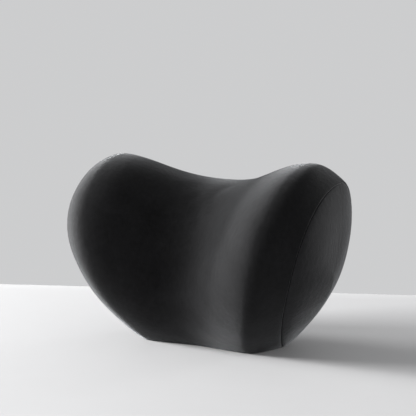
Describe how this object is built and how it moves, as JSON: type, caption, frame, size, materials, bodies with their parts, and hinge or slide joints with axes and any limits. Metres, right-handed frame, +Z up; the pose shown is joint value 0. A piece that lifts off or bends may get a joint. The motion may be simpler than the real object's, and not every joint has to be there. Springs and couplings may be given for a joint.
{
  "type": "chair headrest cushion",
  "caption": "Butterfly-shaped padded head and neck cushion on a flat base, with a buckled elastic strap behind it and a zipped cover.",
  "frame": {"origin": "middle of the flat base, on the surface that the cushion stands on", "axes": "+X along the cushion's width, +Y back towards the chair, +Z up; the scooped face looks along -Y"},
  "size_m": [0.2836, 0.1758, 0.1887],
  "materials": {
    "memory_foam": "open-cell moulded memory foam, matt",
    "liner_knit": "thin white knitted liner",
    "cover_fabric": "black suede-like microfibre, fine short nap with soft sheen",
    "side_fabric": "charcoal-black finely woven stretch fabric",
    "back_fabric": "black air-mesh knit",
    "base_fabric": "black textured non-slip fabric",
    "zip_tape": "black woven zip tape",
    "zip_coil": "black nylon coil",
    "zip_metal": "black-coated zinc, satin",
    "strap_webbing": "black ribbed elastic webbing",
    "buckle_plastic": "black acetal, fine matt mould texture",
    "patch_fabric": "black woven reinforcing fabric"
  },
  "bodies": {
    "root": {"foam_core": "memory_foam", "inner_liner": "liner_knit", "base_panel": "base_fabric", "front_panel": "cover_fabric", "upper_back_panel": "back_fabric", "lower_back_panel": "back_fabric", "left_side_panel": "side_fabric", "right_side_panel": "side_fabric", "upper_zip_tape": "zip_tape", "lower_zip_tape": "zip_tape", "upper_zip_coil": "zip_coil", "lower_zip_coil": "zip_coil", "zip_end_stops": "zip_metal", "left_strap": "strap_webbing", "right_strap": "strap_webbing", "strap_return": "strap_webbing", "buckle_socket": "buckle_plastic", "buckle_plug": "buckle_plastic", "left_anchor_patch": "patch_fabric", "right_anchor_patch": "patch_fabric"},
    "zip_slider_body": {"zip_slider": "zip_metal"},
    "zip_pull_tab": {"zip_pull": "zip_metal"},
    "prong_upper": {"upper_prong": "buckle_plastic"},
    "prong_lower": {"lower_prong": "buckle_plastic"},
    "adjuster": {"strap_adjuster": "buckle_plastic", "strap_end_loop": "strap_webbing"}
  },
  "joints": [
    {"name": "zip_slide", "type": "slide", "parent": "root", "child": "zip_slider_body", "axis": [1, 0, 0], "range_m": [-0.139, 0]},
    {"name": "zip_pull_swing", "type": "hinge", "parent": "zip_slider_body", "child": "zip_pull_tab", "pos_m": [0.07, 0.0559, 0.078], "axis": [0, 0, -1], "range_deg": [0, 170]},
    {"name": "upper_prong_press", "type": "hinge", "parent": "root", "child": "prong_upper", "pos_m": [0.0019, 0.06613, 0.11425], "axis": [0, -0.9945, -0.1045], "range_deg": [0, 11], "stiffness_Nm_per_rad": 0.4},
    {"name": "lower_prong_press", "type": "hinge", "parent": "root", "child": "prong_lower", "pos_m": [0.0019, 0.06787, 0.09774], "axis": [0, 0.9945, 0.1045], "range_deg": [0, 11], "stiffness_Nm_per_rad": 0.4},
    {"name": "strap_adjust", "type": "slide", "parent": "root", "child": "adjuster", "axis": [1, 0, 0], "range_m": [-0.02, 0], "deforming": ["strap_return"]}
  ]
}
